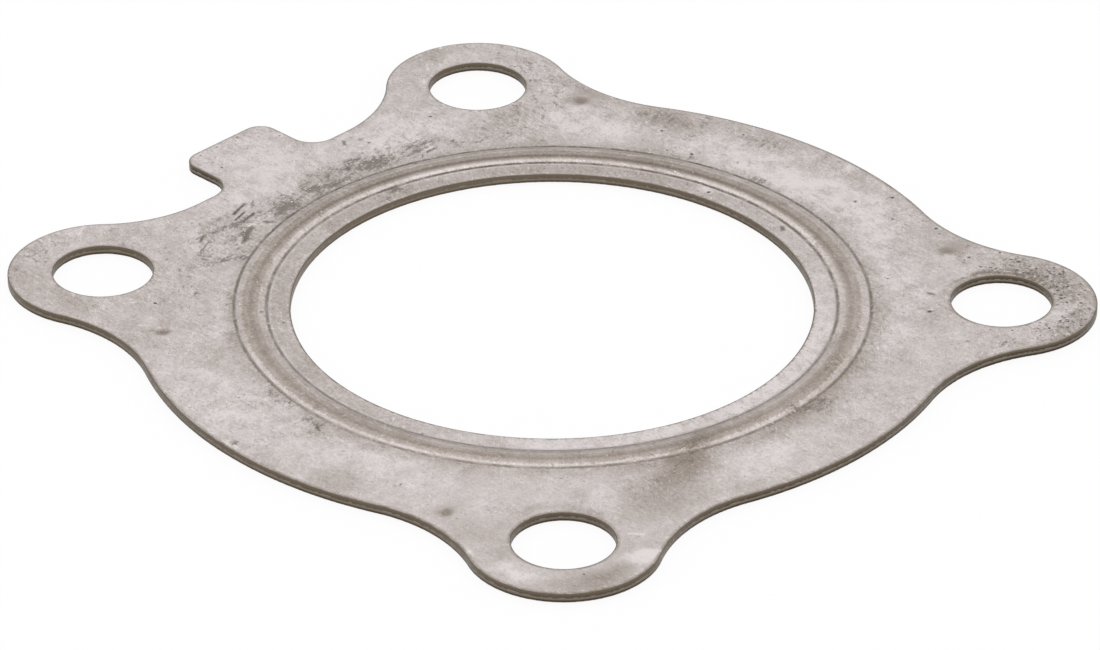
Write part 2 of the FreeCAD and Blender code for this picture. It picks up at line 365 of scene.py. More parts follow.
# Pits: x, y, radius
pits = [
    (19.6, 37.4, 0.19), (-28.8, 29.7, 0.19), (10.9, 38.1, 0.15), (33.2, 11.3, 0.2),
    (33.9, 10.8, 0.11), (34.7, 17.2, 0.17), (40.2, 10.2, 0.16), (37.8, -8.3, 0.17),
    (39.7, 0.1, 0.11), (32, 13.8, 0.14), (31.6, 12.6, 0.11), (28.4, 4.3, 0.22), (41.1, -10.6, 0.2),
    (37.7, -13.7, 0.15), (39.4, -18.4, 0.21), (38.8, -19.4, 0.15), (26, -29.5, 0.22),
    (28, -21.7, 0.13), (-22.5, 20.2, 0.18), (-22.3, 17.2, 0.15), (-28, -8.9, 0.15),
    (-36, 9.6, 0.12), (-36.9, 12, 0.09), (-25.4, 21.1, 0.16), (-36.5, -14.2, 0.12),
    (-35.9, -39.2, 0.14), (11, 31, 0.15), (-4, 45.5, 0.13), (-3.7, 49.1, 0.13), (-2.5, 49.25, 0.1),
    (-1.2, 49.15, 0.14), (0.2, 49.25, 0.1), (1.9, 49.2, 0.12), (3.2, 49.2, 0.1), (4.5, 48.8, 0.13),
    (5.25, 47.5, 0.1), (5.3, 46.1, 0.12), (1.2, 48.7, 0.1), (24.2, -36.3, 0.12),
    (37.3, -24.9, 0.17), (36.5, -24.9, 0.13), (36.6, -27.2, 0.15), (37.2, -28, 0.16),
    (37.5, -28.5, 0.15), (40.2, -29.3, 0.24), (40, -28.4, 0.15), (40.3, -26.6, 0.14),
    (38.8, -30.3, 0.15), (38.8, -31.2, 0.14), (40.4, -31.6, 0.16), (40.6, -33.4, 0.14),
    (41.9, -34, 0.15), (38.2, -35.3, 0.15), (39.1, -35.6, 0.14), (38.5, -36.2, 0.17),
    (38, -37.1, 0.19), (37.5, -37.5, 0.2), (37.3, -38.5, 0.18), (38.2, -39.7, 0.19),
    (40.5, -38.3, 0.14), (41.2, -37, 0.15), (32.2, -39.2, 0.13), (32, -40.7, 0.17),
    (30.6, -40.2, 0.13), (30.2, -41, 0.13), (34, -40.5, 0.15), (34.8, -40.4, 0.12),
    (30.4, -42.4, 0.13), (36, -42.2, 0.16), (34.3, -42.9, 0.13), (37.9, -41, 0.14),
    (29, -38.2, 0.13),
]

# Small pits strewn over one ear: count, radii, spread about their middles, gap to the edges and
# least distance between two pits as a share of their radii
ear_pit_count = 70
ear_pit_radius = (0.05, 0.17)
ear_pit_spread = 1.3
ear_pit_middles = [
    (39.0, -31.0), (38.8, -35.8), (37.8, -38.6), (31.4, -41.0), (35.6, -42.0), (40.6, -34.0),
]
ear_pit_edge_gap = 0.4
ear_pit_spacing = 1.1

# Depth of a pit, and place and width of its light rim, as shares of its radius
pit_depth_share = 0.5
pit_rim_tone = 0.16
pit_rim_place = 1.5
pit_rim_width = 0.3

# Radius from which dirt fills a pit, and how full the smallest pit is
full_dirt_radius = 0.16
least_dirt = 0.5

# Short nicks strewn over rough parts: middle, spread, count, direction in degrees
nick_groups = [
    ((34.0, 35.5), (2.0, 3.2), 60, 68),
    ((28.0, 31.0), (4.0, 1.6), 36, 60),
    ((38.6, -34.0), (1.6, 4.0), 46, 80),
    ((33.0, -41.0), (4.0, 1.2), 34, 65),
    ((-12.0, 36.2), (3.6, 1.5), 34, 25),
    ((-30.0, 45.4), (4.5, 1.2), 22, 30),
    ((-25.0, 33.0), (2.0, 5.0), 24, 55),
    ((36.4, 18.0), (1.6, 5.0), 24, 60),
]
nick_tries = 4
nick_edge_gap = 0.7
nick_direction_spread = 24
nick_length = (0.12, 0.50)
nick_width = (0.035, 0.065)
nick_depth = (0.010, 0.026)

# Painted shade on the land round the port, darker on one side: its middle value, its swing once
# round and where it is darkest, its swing twice round, and the width over which it fades in at the
# bead
land_tone_middle = -0.045
land_tone_swing = 0.186
land_shaded_angle = math.radians(83)
land_tone_second_swing = 0.07
land_tone_fade = 0.25

# How far from a cut edge the face still counts as its brink, and how much less at the port
brink_reach = 1.0
port_brink_loss = 0.28

# How far dirt and bared metal reach from the middle of a mark, as shares of its radius
dirt_reach = 1.5
shine_reach = 1.4

# Rings and lines of mesh points about each mark, and how far other points keep from it,
# as shares of its radius
dent_rings = np.array([0, 0.3, 0.6, 0.85, 1.0, 1.2])
dent_ring_steps = 20
pit_rings = np.array([0, 0.55, 1.0, 1.45])
pit_ring_steps = 9
stroke_lines = (-1.25, -0.6, 0, 0.6, 1.25)
stroke_step = 1.3
dent_clearance = 1.4
mark_clearance = 1.8

# Slow swell of the face, which breaks its sheen up: wavelength, depth
swells = [(31.0, 0.020), (17.0, 0.012), (8.5, 0.005)]

# Wander of the borders of patches and of small marks: wavelength, reach
wander = [(7.3, 0.7), (3.1, 0.35), (1.3, 0.16)]
small_wander = [(0.9, 0.07), (0.37, 0.05), (0.21, 0.03)]


def scattered_pits(random):
    """Small pits in loose groups on the ear where the corrosion sits."""
    smallest, largest = ear_pit_radius
    found = []
    while len(found) < ear_pit_count:
        x, y = random.normal(ear_pit_middles[random.integers(len(ear_pit_middles))], ear_pit_spread)
        size = smallest + (largest - smallest) * random.uniform() ** 2
        from_bolt = math.hypot(x - wide_bolt[0], y - wide_bolt[1])
        on_ear = bolt_hole_radius + ear_pit_edge_gap < from_bolt < ear_radius - ear_pit_edge_gap
        clear = all(
            math.hypot(x - other_x, y - other_y) > ear_pit_spacing * (size + other_size)
            for other_x, other_y, other_size in found + pits
        )
        if on_ear and clear:
            found.append((x, y, size))
    return found


def scattered_nicks(random):
    """Short dark nicks in groups, mostly along the direction of their group."""
    found = []
    for middle, spread, count, direction in nick_groups:
        places = random.normal(middle, spread, (nick_tries * count, 2))
        places = places[in_flat_part(places)]
        places = places[distances(places, edge_tree) > nick_edge_gap]
        for place in places[:count]:
            angle = math.radians(random.normal(direction, nick_direction_spread))
            reach = random.uniform(*nick_length) / 2
            end = reach * np.array([math.cos(angle), math.sin(angle)])
            width = random.uniform(*nick_width)
            found.append((*(place - end), *(place + end), width, random.uniform(*nick_depth)))
    return found


def distance_to_stroke(points, stroke):
    start = np.array(stroke[:2])
    along = np.array(stroke[2:4]) - start
    share = np.clip((points - start) @ along / (along @ along), 0, 1)
    return np.linalg.norm(points - start - share[:, None] * along, axis=1)


def bowl(share):
    """Depth of a round hollow at a share of its radius, as a share of its full depth."""
    return np.clip(1 - share ** 2, 0, 1)


def patch_share(points, patch):
    """How strongly a soft oval patch covers each point, 1 in its middle and 0 well outside."""
    x, y, half_length, half_width, turn = patch[:5]
    angle = math.radians(turn)
    offset = points - [x, y]
    along = offset @ [math.cos(angle), math.sin(angle)] / half_length
    across = offset @ [-math.sin(angle), math.cos(angle)] / half_width
    return np.exp(-(along ** 2 + across ** 2) ** 1.5)


def strongest(points, soft_patches):
    """The most that any of several soft patches covers each point, from 0 to 1."""
    amount = np.zeros(len(points))
    for patch in soft_patches:
        amount = np.maximum(amount, patch[5] * patch_share(points, patch))
    return amount


def waves(points, lengths_and_sizes, random):
    """A sum of waves in several directions, each family within its own size."""
    total = np.zeros(len(points))
    for wavelength, size in lengths_and_sizes:
        for turn in random.uniform(0, 2 * math.pi, 3):
            way = np.array([math.cos(turn), math.sin(turn)]) * 2 * math.pi / wavelength
            total += size / 3 * np.sin(points @ way + random.uniform(0, 2 * math.pi))
    return total


def moved(points, lengths_and_reaches, seed):
    """The points moved a little to and fro, so that what is drawn there gets uneven borders."""
    random = np.random.default_rng(seed)
    along_x = waves(points, lengths_and_reaches, random)
    along_y = waves(points, lengths_and_reaches, random)
    return points + np.stack([along_x, along_y], 1)


@dataclass
class Marks:
    """What has worn, dented, pitted and stained one outer face, with painted shade and sheen in its
    tone.
    """

    seed: int
    tones: Sequence = ()
    grime: Sequence = ()
    smudges: Sequence = ()
    rough: Sequence = ()
    gouges: Sequence = ()
    bright: Sequence = ()
    holes: Sequence = ()

    def ragged(self, points):
        """The points moved a very little, for the borders of the small marks."""
        return moved(points, small_wander, self.seed + 2)

    def relief(self, points):
        """Depth of the face below its true form, zero or less."""
        most = sum(size for _, size in swells)
        depth = (waves(points, swells, np.random.default_rng(self.seed)) - most) / 2
        ragged = self.ragged(points)
        for x, y in weld_dents:
            depth -= weld_dent_depth * bowl(distance_to(points, x, y) / weld_dent_radius)
        for stroke in [*self.gouges, *self.bright]:
            depth -= stroke[5] * bowl(distance_to_stroke(ragged, stroke) / stroke[4])
        for x, y, size in self.holes:
            depth -= size * pit_depth_share * bowl(distance_to(ragged, x, y) / size)
        return depth

    def tone(self, points, wandered):
        """How much lighter or darker than its base colour the face is, as a share, with painted shade
        on the land and painted sheen and shade in the patches.
        """
        total = self.land_tone(points) if self.tones else np.zeros(len(points))
        for patch in self.tones:
            total += patch[5] * patch_share(wandered, patch)
        for x, y, size in self.holes:
            share = distance_to(points, x, y) / size
            total += pit_rim_tone * np.exp(-((share - pit_rim_place) / pit_rim_width) ** 2)
        return total

    def land_tone(self, points):
        """Painted shade on the land round the port, darker on one side of the port than on the other.
        """
        angle = np.arctan2(points[:, 1], points[:, 0])
        from_bead = land_end + land_tone_fade - distance_to(points, 0, 0)
        once_round = land_tone_swing * np.cos(angle - land_shaded_angle)
        twice_round = land_tone_second_swing * np.cos(2 * angle)
        tone = land_tone_middle - (once_round + twice_round)
        return np.clip(from_bead / land_tone_fade, 0, 1) * tone

    def dirt(self, ragged):
        """How far dirt fills the pits and gouges, from 0 to 1."""
        amount = np.zeros(len(ragged))
        for stroke in self.gouges:
            share = distance_to_stroke(ragged, stroke) / stroke[4]
            amount = np.maximum(amount, stroke[5] / deepest_gouge * np.clip(dirt_reach - share, 0, 1))
        for x, y, size in self.holes:
            share = distance_to(ragged, x, y) / size
            fullness = np.clip(size / full_dirt_radius, least_dirt, 1)
            amount = np.maximum(amount, fullness * np.clip(dirt_reach - share, 0, 1))
        return amount

    def shine(self, points):
        """How freshly a scratch has bared the metal, from 0 to 1."""
        amount = np.zeros(len(points))
        for stroke in self.bright:
            share = distance_to_stroke(points, stroke) / stroke[4]
            amount = np.maximum(amount, np.clip(shine_reach - share, 0, 1))
        return amount

    def layers(self, points):
        """Every mark as one named value for each point."""
        wandered = moved(points, wander, self.seed + 1)
        ragged = self.ragged(points)
        return {
            "tone": self.tone(points, wandered),
            "grime": strongest(wandered, self.grime),
            "smudge": strongest(ragged, self.smudges),
            "rough": strongest(wandered, self.rough),
            "dirt": self.dirt(ragged),
            "shine": self.shine(points),
        }

    def mesh_points(self):
        """Points that the mesh needs so that the small marks keep their shape."""
        dent_radii = weld_dent_radius * dent_rings
        placed = [ring_points(x, y, dent_radii, dent_ring_steps) for x, y in weld_dents]
        placed += [ring_points(x, y, size * pit_rings, pit_ring_steps) for x, y, size in self.holes]
        placed += [stroke_points(stroke) for stroke in [*self.gouges, *self.bright]]
        return np.concatenate(placed)

    def clear_of_marks(self, points):
        """Which of the plain face points stay, away from the points of the marks."""
        stays = np.ones(len(points), bool)
        for x, y in weld_dents:
            stays &= distance_to(points, x, y) > dent_clearance * weld_dent_radius
        for x, y, size in self.holes:
            stays &= distance_to(points, x, y) > mark_clearance * size
        for stroke in [*self.gouges, *self.bright]:
            stays &= distance_to_stroke(points, stroke) > mark_clearance * stroke[4]
        return stays


def ring_points(x, y, radii, steps):
    """Rings of points about a place, each turned half a step from the one before."""
    rings = []
    for number, radius in enumerate(radii):
        if radius == 0:
            rings.append([[x, y]])
            continue
        angles = 2 * math.pi * (np.arange(steps) + number / 2) / steps
        rings.append([x, y] + radius * directions(angles))
    return np.concatenate(rings)


def stroke_points(stroke):
    """Points along the middle and both sides of a stroke."""
    start = np.array(stroke[:2])
    along = np.array(stroke[2:4]) - start
    width = stroke[4]
    count = max(3, math.ceil(np.linalg.norm(along) / (stroke_step * width)))
    share = np.linspace(0, 1, count)[:, None]
    aside = np.array([-along[1], along[0]]) / np.linalg.norm(along)
    middle = start + share * along
    return np.concatenate([middle + offset * width * aside for offset in stroke_lines])


def inside_loops(points, loops):
    """Which points lie between closed loops, by counting how often a ray crosses them."""
    inside = np.zeros(len(points), bool)
    for corners in loops:
        for (ax, ay), (bx, by) in zip(corners, np.roll(corners, -1, 0)):
            spans = (ay > points[:, 1]) != (by > points[:, 1])
            if spans.any():
                crossing = ax + (points[:, 1] - ay) * (bx - ax) / (by - ay if by != ay else 1)
                inside ^= spans & (points[:, 0] < crossing)
    return inside


def in_flat_part(points):
    """Which points lie on the flat part, outside the bead and clear of the bolt holes."""
    found = inside_loops(points, [outline[0]]) & (distance_to(points, 0, 0) > flat_start)
    for centre in bolt_centres:
        found &= np.linalg.norm(points - centre, axis=1) > bolt_hole_radius
    return found


def in_land(points):
    """Which points lie on the ring between the port and the bead."""
    radius = distance_to(points, 0, 0)
    return (radius > port_radius) & (radius < land_end)


def tree_of(points):
    tree = KDTree(len(points))
    for number, (x, y) in enumerate(points):
        tree.insert((x, y, 0), number)
    tree.balance()
    return tree


def distances(points, tree):
    return np.array([tree.find((x, y, 0))[2] for x, y in points])


def lattice(step, loops, keep, random):
    """Slightly jittered points of a triangular lattice over a part of the face, clear of its loops."""
    low = outline[0].min(0)
    high = outline[0].max(0)
    rows = np.arange(low[1], high[1], step * math.sqrt(3) / 2)
    columns = np.arange(low[0], high[0], step)
    grid = np.array([(x + (row % 2) * step / 2, y) for row, y in enumerate(rows) for x in columns])
    grid += random.uniform(-lattice_jitter, lattice_jitter, grid.shape) * step
    grid = grid[keep(grid)]
    return grid[distances(grid, tree_of(np.concatenate(loops))) > 0.6 * step]


def fill(loops, inner_points):
    """Corners and triangles of a part of the face between closed loops and through inner points."""
    corners = np.concatenate(loops + [inner_points])
    edges = []
    start = 0
    for loop in loops:
        count = len(loop)
        edges += [(start + i, start + (i + 1) % count) for i in range(count)]
        start += count
    vectors = [Vector(point) for point in corners]
    made, _, triangles, _, _, _ = delaunay_2d_cdt(vectors, edges, [], 0, 1e-6)
    made = np.array(made)
    triangles = np.array(triangles)
    return made, triangles[inside_loops(made[triangles].mean(1), loops)]


edge_tree = tree_of(np.concatenate([outline[0]] + [loop[0] for loop in hole_loops]))


def rim_profile(rolled_outside):
    """Section of a cut edge as (inset, distance from the mating plane, rim share).

    It runs from the outer face to the mating plane. The punch draws one edge in, and the metal
    under the clean cut is torn.
    """
    roll = []
    for number in range(rim_roll_steps + 1):
        angle = math.pi / 2 * number / rim_roll_steps
        inset = rim_roll * (1 - math.sin(angle))
        drop = rim_roll * (1 - math.cos(angle))
        roll.append((inset, drop, roll_share_start + roll_share_rise * number / rim_roll_steps))
    torn = [
        (0.0, sheet_thickness - torn_depth, 1.0),
        (torn_inset, sheet_thickness - torn_depth / 2, 1.0),
        (torn_inset * torn_foot_share, sheet_thickness, 1.0),
    ]
    section = [(rim_roll + rim_flat, 0.0, 0.0)] + roll + torn
    if rolled_outside:
        return [(inset, sheet_thickness - drop, share) for inset, drop, share in section]
    return [(inset, drop, share) for inset, drop, share in reversed(section)]


def port_ring(radius):
    return circle_loop(port_centre, radius, circle_steps)[0]


def flat_part_loops(inset):
    """The loops round the flat part of a face that is set in from the cut edges."""
    edges = [points - normals * inset for points, normals in [outline] + hole_loops]
    return edges + [port_ring(flat_start)]


class SheetMesh:
    """Collects the corners and faces of one sheet, whose outer face is up (+1) or down (-1)."""

    layer_names = ("rim", "brink", "tone", "grime", "smudge", "rough", "dirt", "shine")

    def __init__(self, side, rolled_outside, marks):
        self.side = side
        self.marks = marks
        self.profile = rim_profile(rolled_outside)
        self.random = np.random.default_rng(marks.seed)
        self.places = []
        self.layers = {name: [] for name in self.layer_names}
        self.faces = []
        self.count = 0
        self.add_cut_edges()
        self.add_bead()
        self.add_outer_face()
        self.add_hidden_face()

    def outer_height(self, points):
        rise = bead_rise(distance_to(points, 0, 0))
        return self.side * (sheet_thickness + rise + self.marks.relief(points))

    def add_places(self, points, heights, **values):
        """Adds corners and returns the number of the first."""
        first = self.count
        amount = len(points)
        self.places.append(np.column_stack([points, np.broadcast_to(heights, amount)]))
        for name, layer in self.layers.items():
            layer.append(np.broadcast_to(values.get(name, 0.0), amount).astype(float))
        self.count += amount
        return first

    def add_outer_places(self, points):
        """Adds corners of the outer face with everything that marks it."""
        past_port = distance_to(points, 0, 0) - port_radius
        from_edge = np.minimum(distances(points, edge_tree), past_port + port_brink_loss)
        brink = np.clip(1 - from_edge / brink_reach, 0, 1)
        layers = self.marks.layers(points)
        return self.add_places(points, self.outer_height(points), brink=brink, **layers)

    def join_rings(self, rings, steps):
        """Adds the faces between each ring of corners and the next."""
        for first, second in zip(rings, rings[1:]):
            for i in range(steps):
                following = (i + 1) % steps
                self.faces.append((first + i, first + following, second + following, second + i))

    def add_triangles(self, first, triangles):
        self.faces += [tuple(first + number for number in triangle) for triangle in triangles]

    def add_cut_edges(self):
        """The outer edge, the edge of the port and those of the bolt holes."""
        for points, normals in [outline, port_loop] + hole_loops:
            rings = []
            for inset, height, share in self.profile:
                ring = points - normals * inset
                follow = (height / sheet_thickness) ** 4
                heights = self.side * (height + follow * self.marks.relief(ring))
                brink = 1 - inset / brink_reach
                rings.append(self.add_places(ring, heights, rim=share, brink=brink))
            self.join_rings(rings, len(points))

    def add_bead(self):
        """The bead of the outer face."""
        ring_count = math.ceil((flat_start - land_end) / bead_ring_step)
        radii = np.linspace(land_end, flat_start, ring_count + 1)
        self.join_rings([self.add_outer_places(port_ring(radius)) for radius in radii], circle_steps)

    def add_outer_face(self):
        """The flat parts of the outer face: the land inside the bead and the body outside it."""
        inset = self.profile[0][0]
        land_loops = [port_loop[0] - port_loop[1] * inset, port_ring(land_end)]
        for loops, keep in ((land_loops, in_land), (flat_part_loops(inset), in_flat_part)):
            plain = lattice(face_step, loops, keep, self.random)
            marked = self.marks.mesh_points()
            marked = marked[keep(marked)]
            marked = marked[distances(marked, tree_of(np.concatenate(loops))) > least_gap]
            plain = plain[self.marks.clear_of_marks(plain)]
            corners, triangles = fill(loops, np.concatenate([plain, marked]))
            self.add_triangles(self.add_outer_places(corners), triangles)

    def add_hidden_face(self):
        """The face against the other sheet, with the hollow of the bead."""
        inset = self.profile[-1][0]
        bends = np.linspace(inner_foot - foot_bend_reach, flat_start, hidden_bead_rings)
        rings = []
        for radius in [port_radius + inset, *bends]:
            rise = bead_rise(np.full(circle_steps, radius))
            rings.append(self.add_places(port_ring(radius), self.side * rise))
        self.join_rings(rings, circle_steps)
        loops = flat_part_loops(inset)
        corners, triangles = fill(loops, lattice(hidden_face_step, loops, in_flat_part, self.random))
        self.add_triangles(self.add_places(corners, 0.0), triangles)

    def make(self, name):
        mesh = bpy.data.meshes.new(name)
        places = np.concatenate(self.places) * millimetre
        mesh.from_pydata(places.tolist(), [], self.faces)
        for layer, values in self.layers.items():
            attribute = mesh.attributes.new(layer, "FLOAT", "POINT")
            attribute.data.foreach_set("value", np.concatenate(values).astype(np.float32))
        return mesh


def closed_object(name, mesh):
    """Joins the rings of a mesh, turns its faces outwards and sets which edges stay sharp."""
    work = bmesh.new()
    work.from_mesh(mesh)
    bmesh.ops.remove_doubles(work, verts=work.verts, dist=joining_reach * millimetre)
    bmesh.ops.recalc_face_normals(work, faces=work.faces)
    for face in work.faces:
        face.smooth = True
    for edge in work.edges:
        edge.smooth = edge.is_manifold and edge.calc_face_angle() < sharp_angle
    work.to_mesh(mesh)
    work.free()
    made = bpy.data.objects.new(name, mesh)
    bpy.context.scene.collection.objects.link(made)
    return made


def worn_sheet(name, side, rolled_outside, marks):
    return closed_object(name, SheetMesh(side, rolled_outside, marks).make(name))


ear_pits = scattered_pits(np.random.default_rng(11))
nicks = scattered_nicks(np.random.default_rng(12))
upper_marks = Marks(
    seed=7,
    tones=patches,
    grime=grime_patches,
    smudges=smudge_patches,
    rough=rough_patches,
    gouges=strokes + nicks,
    bright=scratches,
    holes=pits + ear_pits,
)
lower_marks = Marks(seed=23)
upper = worn_sheet("upper_sheet_worn", 1, True, upper_marks)
lower = worn_sheet("lower_sheet_worn", -1, False, lower_marks)


# Tone of the dark and of the light face colour, where 1 is the common tone. The tone carries painted
# shade and sheen as well as the metal's own tone.
dark_tone = 0.52
light_tone = 1.32

# Colours, linear. The roll is the drawn-in edge, and the wall is the cut edge under it.
dark_face_colour = (0.288, 0.241, 0.206, 1)
light_face_colour = (0.700, 0.647, 0.640, 1)
warm_colour = (0.97, 0.945, 0.91, 1)
# The bead's crown is darker partly from real staining and partly from a painted dark reflection; the
# crown line and the far crown add painted shade.
crown_colour = (0.74, 0.728, 0.705, 1)
crown_line_colour = (0.58, 0.567, 0.54, 1)
far_crown_shade_colour = (0.85, 0.84, 0.825, 1)
# Painted shade in the bead's creases, with some dirt
crease_shade_and_dirt_colour = (0.155, 0.124, 0.096, 1)
grime_colour = (0.150, 0.124, 0.100, 1)
smudge_colour = (0.225, 0.183, 0.148, 1)
pit_colour = (0.085, 0.070, 0.058, 1)
# Freshly bared metal, also the colour of the painted glints
bared_and_glint_colour = (0.82, 0.76, 0.74, 1)
upper_roll_colour = (0.168, 0.136, 0.101, 1)
upper_wall_colour = (0.126, 0.099, 0.073, 1)
# The lower sheet's roll is lighter by a painted highlight on its top corner, and its wall darker by
# painted shade under the gasket, over the cut edge's own brown
lower_roll_colour_with_highlight = (0.240, 0.202, 0.160, 1)
lower_wall_colour_with_shade = (0.080, 0.061, 0.043, 1)

# Centre and radius of the stains and painted shade that lie a little off the port's centre
crown_shade_and_stain = (-0.20, -0.15, bead_middle_radius)
crown_line = (-0.30, -0.15, bead_middle_radius - 0.18)
outer_crease_line = (0.14, 0.06, outer_foot + 0.05)
bead_warmth = (0.21, 0.21, bead_middle_radius)

# Middle of the notch beside the tab, whose cut edge is darker, how far it is fully so and where
# that ends, and its tone
dark_notch = (-6.5, 45.5)
dark_notch_reach = (4.0, 9.0)
dark_notch_tone = 0.5

# The port's wall is lighter: its tone, and how far past the port that reaches and ends
port_wall_tone = 1.3
port_wall_reach = (port_radius + 0.35, port_radius + 1.15)

# How strongly a full layer covers or darkens the metal
grime_cover = 0.8
shine_cover = 0.7
foot_stain_loss = -0.22

# Directions across the photograph's view: away from the camera, and to its right
away_direction = (0.7, 0.7, 0)
right_direction = (0.7, -0.7, 0)

# Reach of each stain and painted shade to either side of its middle: fully there, and no longer there
crown_shade_and_stain_reach = (0.68, 0.98)
crown_line_reach = (0.08, 0.46)
crease_reach = (0.06, 0.30)
bead_warmth_reach = (0.95, 1.35)
foot_stain_width = 2.2

# How strongly each noise varies the tone of the metal
cloud_amount = 0.42
mottle_amount = 0.78
fine_amount = 0.72
grain_amount = 0.80
upright_amount = 0.12
slanted_amount = 0.14

# Height of the finest relief, which only the light shows
bump_height = 0.02


class Nodes:
    """Short ways to add the nodes of one material and join them up."""

    def __init__(self, material):
        material.use_nodes = True
        self.tree = material.node_tree
        self.tree.nodes.clear()

    def add(self, kind, inputs=None, **settings):
        node = self.tree.nodes.new(kind)
        for key, value in settings.items():
            setattr(node, key, value)
        for key, value in (inputs or {}).items():
            self.set(node, key, value)
        return node

    def set(self, node, key, value):
        if isinstance(value, bpy.types.NodeSocket):
            self.tree.links.new(value, node.inputs[key])
        else:
            node.inputs[key].default_value = value

    def maths(self, operation, *values, clamp=False):
        node = self.add("ShaderNodeMath", operation=operation, use_clamp=clamp)
        for number, value in enumerate(values):
            self.set(node, number, value)
        return node.outputs[0]

    def plus(self, first, second):
        return self.maths("ADD", first, second)

    def times(self, first, second, clamp=False):
        return self.maths("MULTIPLY", first, second, clamp=clamp)

    def swayed(self, value, noise, amount):
        """The value with a noise added that swings evenly to both sides of nought."""
        return self.maths("MULTIPLY_ADD", self.maths("SUBTRACT", noise, 0.5), amount, value)

    def between(self, value, low, high, to_low=0.0, to_high=1.0, **settings):
        inputs = {0: value, 1: low, 2: high, 3: to_low, 4: to_high}
        return self.add("ShaderNodeMapRange", inputs, **settings).outputs[0]

    def blend(self, share, first, second, way="MIX"):
        node = self.add("ShaderNodeMix", data_type="RGBA", blend_type=way)
        self.set(node, 0, share)
        self.set(node, 6, first)
        self.set(node, 7, second)
        return node.outputs[2]

    def noise(self, place, scale, detail=2.0, roughness=0.5, distortion=0.0):
        inputs = {"Vector": place, "Scale": scale, "Detail": detail,
                  "Roughness": roughness, "Distortion": distortion}
        return self.add("ShaderNodeTexNoise", inputs).outputs["Fac"]

    def attribute(self, name):
        return self.add("ShaderNodeAttribute", attribute_name=name).outputs["Fac"]

    def vector_maths(self, operation, first, second, output="Vector"):
        node = self.add("ShaderNodeVectorMath", {0: first, 1: second}, operation=operation)
        return node.outputs[output]

    def placed(self, turn, scale):
        """Object coordinates in millimetres, turned and then stretched."""
        coordinates = self.add("ShaderNodeTexCoord").outputs["Object"]
        mapping = self.add("ShaderNodeMapping", {"Vector": coordinates, "Rotation": (0, 0, turn)})
        stretch = [factor / millimetre for factor in scale]
        return self.vector_maths("MULTIPLY", mapping.outputs[0], stretch)

    def distance_from(self, x, y):
        """Distance in millimetres from an upright line near the port's axis."""
        return self.vector_maths("DISTANCE", self.placed(0, (1, 1, 0)), (x, y, 0), "Value")

    def ring(self, radius, middle, reach):
        """A soft ring, 1 within the first reach of its middle radius and 0 beyond the second."""
        off_middle = self.maths("ABSOLUTE", self.maths("SUBTRACT", radius, middle))
        return self.between(off_middle, *reach, 1.0, 0.0, interpolation_type="SMOOTHSTEP")


